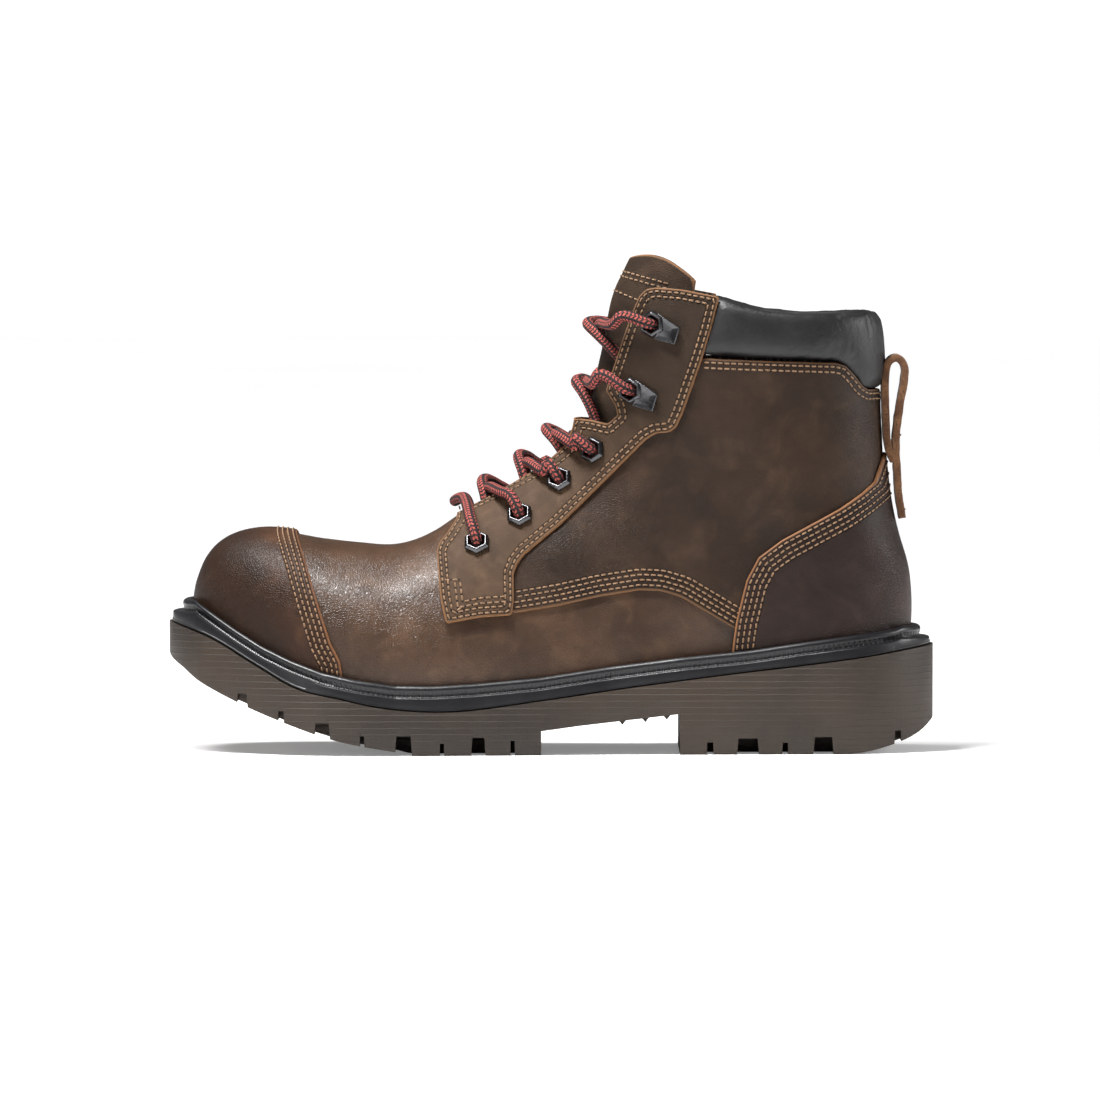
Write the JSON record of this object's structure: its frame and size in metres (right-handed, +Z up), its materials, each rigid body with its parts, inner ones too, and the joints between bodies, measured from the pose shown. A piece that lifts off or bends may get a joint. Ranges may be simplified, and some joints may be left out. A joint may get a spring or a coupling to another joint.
{
  "type": "steel toe work boot",
  "caption": "Lace-up ankle work boot with a steel toe, padded collar, lugged rubber sole with a heel block, and a pull loop.",
  "frame": {"origin": "on the ground, at the middle of the boot's overall length and width", "axes": "+X from toe to heel, +Y to the inner side of this left boot, +Z up"},
  "size_m": [0.3093, 0.1111, 0.2008],
  "materials": {
    "outsole": "brown translucent moulded rubber",
    "welt": "black semi-gloss moulded rubber",
    "foam": "dense polyurethane foam, matt",
    "steel": "pressed steel",
    "board": "fibre board",
    "vamp_leather": "oiled brown leather, soft sheen",
    "toe_leather": "burnished dark red-brown leather",
    "quarter_leather": "oiled dark brown leather with pull-up marks",
    "eyestay_leather": "nubuck, brown, matt",
    "heel_leather": "dark brown leather, low sheen",
    "collar_leather": "soft black padded leather",
    "textile": "knitted lining",
    "hardware": "gunmetal plating, bevelled edges",
    "lace": "round braid, black with coral flecks",
    "tip": "clear black tip",
    "suede": "tan suede strap"
  },
  "bodies": {
    "boot": {"outsole": "outsole", "welt": "welt", "midsole": "foam", "steel_shank": "steel", "insole_board": "board", "footbed": "foam", "steel_toe_cap": "steel", "toe_lining": "textile", "lining": "textile", "vamp": "vamp_leather", "toe_cap_cover": "toe_leather", "heel_stiffener": "board", "heel_cover": "heel_leather", "quarter_outer": "quarter_leather", "quarter_inner": "quarter_leather", "eyestay_outer": "eyestay_leather", "eyestay_inner": "eyestay_leather", "collar": "collar_leather", "tongue": "quarter_leather", "tongue_pad": "textile", "eyelet_outer_1": "hardware", "eyelet_outer_2": "hardware", "eyelet_outer_3": "hardware", "eyelet_outer_4": "hardware", "hook_outer_1": "hardware", "hook_outer_2": "hardware", "eyelet_inner_1": "hardware", "eyelet_inner_2": "hardware", "eyelet_inner_3": "hardware", "eyelet_inner_4": "hardware", "hook_inner_1": "hardware", "hook_inner_2": "hardware", "lace": "lace", "lace_tail_outer": "lace", "lace_tail_inner": "lace", "lace_tip_outer": "tip", "lace_tip_inner": "tip", "pull_tail": "suede"},
    "pull_strap": {"pull_loop": "suede"}
  },
  "joints": [
    {"name": "pull_loop_hinge", "type": "hinge", "parent": "boot", "child": "pull_strap", "pos_m": [0.1417, 0, 0.1249], "axis": [0, 1, 0], "range_deg": [0, 35], "stiffness_Nm_per_rad": 0.02}
  ]
}
